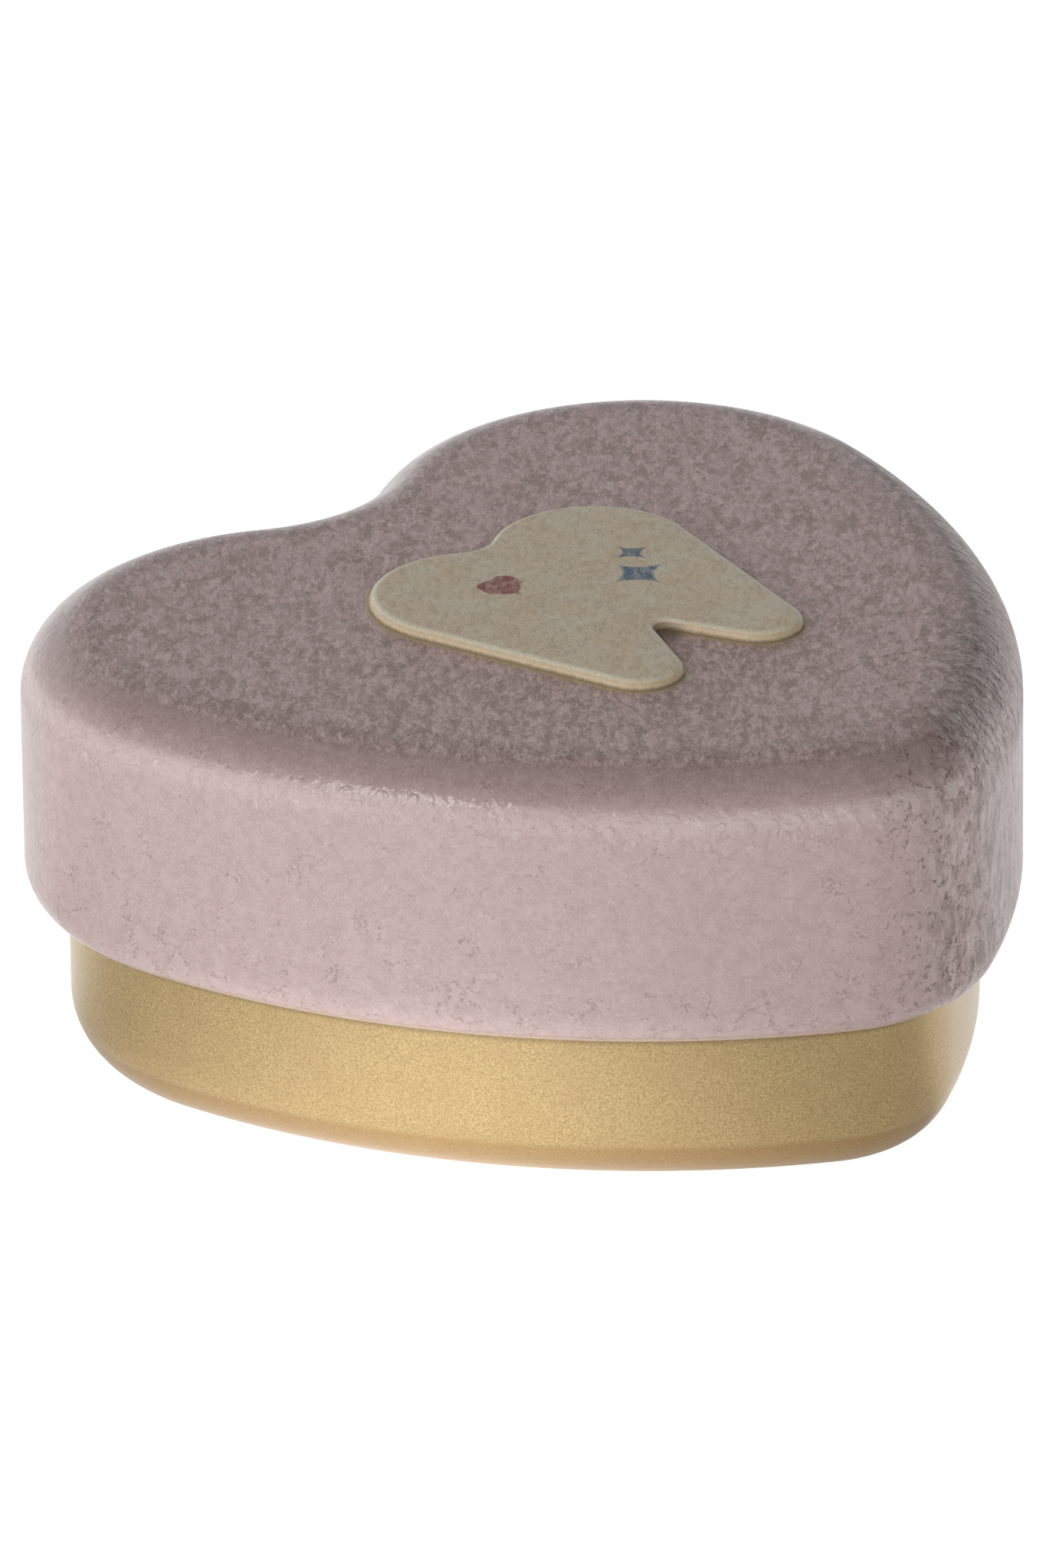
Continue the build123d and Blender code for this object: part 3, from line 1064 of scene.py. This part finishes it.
def towards(vector, azimuth, low, high):
    """0 to 1 as a direction turns to an azimuth: a step on the cosine of the level angle between them."""
    level = vector.stretched(1, 1, 0)
    unit = level.node("ShaderNodeVectorMath", {"operation": "NORMALIZE"}, i0=level)
    aim = tuple(direction_to(azimuth, 0).tolist())
    cosine = unit.node("ShaderNodeVectorMath", {"operation": "DOT_PRODUCT"}, out=1, i0=unit, i1=aim)
    return cosine.ramp(low, high)


# %% A bare node tree
def cleared(tree):
    """An empty tree, wrapped so that nodes can be added to it."""
    tree.nodes.clear()
    return Value(tree, None)


def end_with(surface, kind):
    """Links a finished surface to an output node of its kind."""
    end = surface.tree.nodes.new(kind)
    surface.tree.links.new(surface.socket, end.inputs["Surface"])


# %% What the floor gives off, with its places and distances in metres
CAMERA_GLOW = 0.9
NEAR_GLOW = 0.25
POOL_GLOW = 0.85
POOL_CENTRE = (-0.0303, -0.011)
POOL_RADIUS = 0.034
OPEN_RING = (0.04, 0.12)
DARK_SIDE = (15, 0.2, 0.85)
DARK_SHARE = 0.8
TIP = (0, -0.0155, 0)
BACKDROP_SIDE = (100, 0.3, 0.75)
BEHIND = (137, -0.1, 0.3)
BEYOND = 0.62


def floor_glow(place):
    """The near glow, up to the camera's glow far off or beyond the tin, plus the pool beside it."""
    open_side = 1 - DARK_SHARE * towards(place, *DARK_SIDE)
    beside_tip = place.moved(tuple(-number for number in TIP))
    beyond = towards(beside_tip, *BACKDROP_SIDE).or_more(towards(place, *BEHIND))
    far = (level_distance(place, (0, 0)).ramp(*OPEN_RING) * open_side).or_more(BEYOND * beyond)
    pool = 1 - level_distance(place, POOL_CENTRE).ramp(0, POOL_RADIUS)
    return NEAR_GLOW + (CAMERA_GLOW - NEAR_GLOW) * far + POOL_GLOW * pool


# %% Material of the floor
FLOOR_PAINT = (0.8, 0.8, 0.8, 1)


def white_floor():
    """White to the camera; for light it glows in a soft pool beside the tin and faintly elsewhere."""
    material = bpy.data.materials.new("white_floor")
    material.use_nodes = True
    start = cleared(material.node_tree)
    seen = start.node("ShaderNodeLightPath", out="Is Camera Ray")
    glow = floor_glow(start.node("ShaderNodeTexCoord", out="Object"))
    strength = seen * CAMERA_GLOW + (1 - seen) * glow
    plain = start.node("ShaderNodeBsdfDiffuse", Color=FLOOR_PAINT)
    light = start.node("ShaderNodeEmission", Color=WHITE, Strength=strength)
    end_with(start.node("ShaderNodeAddShader", i0=plain, i1=light), "ShaderNodeOutputMaterial")
    return material


# %% The floor
FLOOR_REACH = 4.0
FLOOR_GAP = 0.05 * MM

floor_mesh = bpy.data.meshes.new("floor")
corners = [(x * FLOOR_REACH, y * FLOOR_REACH, -FLOOR_GAP) for x, y in ((-1, -1), (1, -1), (1, 1), (-1, 1))]
floor_mesh.from_pydata(corners, [], [(0, 1, 2, 3)])
floor = bpy.data.objects.new("floor", floor_mesh)
bpy.context.scene.collection.objects.link(floor)
floor.data.materials.append(white_floor())
print(f"floor {2 * FLOOR_REACH:.0f} m wide")

# %% Sky
HORIZON = 0.85
ZENITH = 0.155
SKY_FADE = (0.3, 0.75)
WHITE_FADE = (0.1, 0.35)
RIGHT_DIMMER = 0.7
RIGHT_SIDE = (75, -0.2, 0.9)


def sky():
    """White to the camera; for light it is white near the horizon and dim overhead."""
    world = bpy.data.worlds.new("studio")
    bpy.context.scene.world = world
    world.use_nodes = True
    start = cleared(world.node_tree)
    rays = "Is Camera Ray", "Is Glossy Ray", "Is Transmission Ray"
    seen, glossy, through = [start.node("ShaderNodeLightPath", out=ray) for ray in rays]
    direction = start.node("ShaderNodeTexCoord", out="Generated")
    height = direction.part(2)
    fading = HORIZON - (HORIZON - ZENITH) * height.ramp(*SKY_FADE)
    dim = fading * (1 - RIGHT_DIMMER * towards(direction, *RIGHT_SIDE))
    white = (glossy + through) * (1 - height.ramp(*WHITE_FADE))
    white = white * (1 - DARK_SHARE * towards(direction, *DARK_SIDE))
    strength = seen.or_more(dim).or_more(white)
    light = start.node("ShaderNodeBackground", Color=WHITE, Strength=strength)
    end_with(light, "ShaderNodeOutputWorld")


sky()


# %% Lamps
def soft_lamp(name, azimuth, elevation, distance, width, height, watts):
    """A flat lamp that faces the tin: its place is distance times the direction from the two angles."""
    data = bpy.data.lights.new(name, "AREA")
    data.shape, data.energy = "RECTANGLE", watts
    data.size, data.size_y = width, height
    lamp = bpy.data.objects.new(name, data)
    bpy.context.scene.collection.objects.link(lamp)
    lamp.location = direction_to(azimuth, elevation) * distance
    lamp.rotation_euler = lamp.location.to_track_quat("Z", "Y").to_euler()
    print(f"{name}: {watts} W from {azimuth} degrees round, {elevation} up")


soft_lamp("left_panel", -100, 12, distance=0.7, width=0.5, height=0.5, watts=0.5)
soft_lamp("front_panel", -40, 12, distance=0.8, width=0.4, height=0.4, watts=0.27)
soft_lamp("glint", -82, 42, distance=0.7, width=0.2, height=0.11, watts=0.44)

# %% [markdown]
# ## The camera
#
# A long lens looks down on the tin from the front left, as in a shop's product shot. Its place comes
# from the two angles and the distance, and a small shift puts the tin where it stands in the frame.

# %% Camera
AZIMUTH = -42.8
ELEVATION = 24.75
ROLL = math.radians(0.745)
DISTANCE = 0.8585
TARGET = np.array([0, 8.138, 13.0]) * MM
FOCAL_PIXELS = 21202
FRAME_HEIGHT = 2047
SHIFT_PIXELS = (25.9, -26.4)
SENSOR = 36.0


def camera():
    """Right and up are the level line and the upright turned by the roll, and the lens looks along -back."""
    back = direction_to(AZIMUTH, ELEVATION)
    level = np.array([math.cos(math.radians(AZIMUTH)), math.sin(math.radians(AZIMUTH)), 0])
    upright = np.cross(back, level)
    right = math.cos(ROLL) * level - math.sin(ROLL) * upright
    up = math.sin(ROLL) * level + math.cos(ROLL) * upright
    data = bpy.data.cameras.new("camera")
    data.sensor_width = SENSOR
    data.lens = SENSOR * FOCAL_PIXELS / FRAME_HEIGHT
    data.shift_x, data.shift_y = [pixels / FRAME_HEIGHT for pixels in SHIFT_PIXELS]
    seen_from = bpy.data.objects.new("camera", data)
    bpy.context.scene.collection.objects.link(seen_from)
    columns = np.stack([right, up, back, TARGET + back * DISTANCE], axis=1)
    seen_from.matrix_world = Matrix(np.vstack([columns, [0, 0, 0, 1]]).tolist())
    bpy.context.scene.camera = seen_from
    print(f"{data.lens:.0f} mm lens at", columns[:, 3].round(3), "m")


camera()
bpy.context.scene.view_settings.view_transform = "Standard"
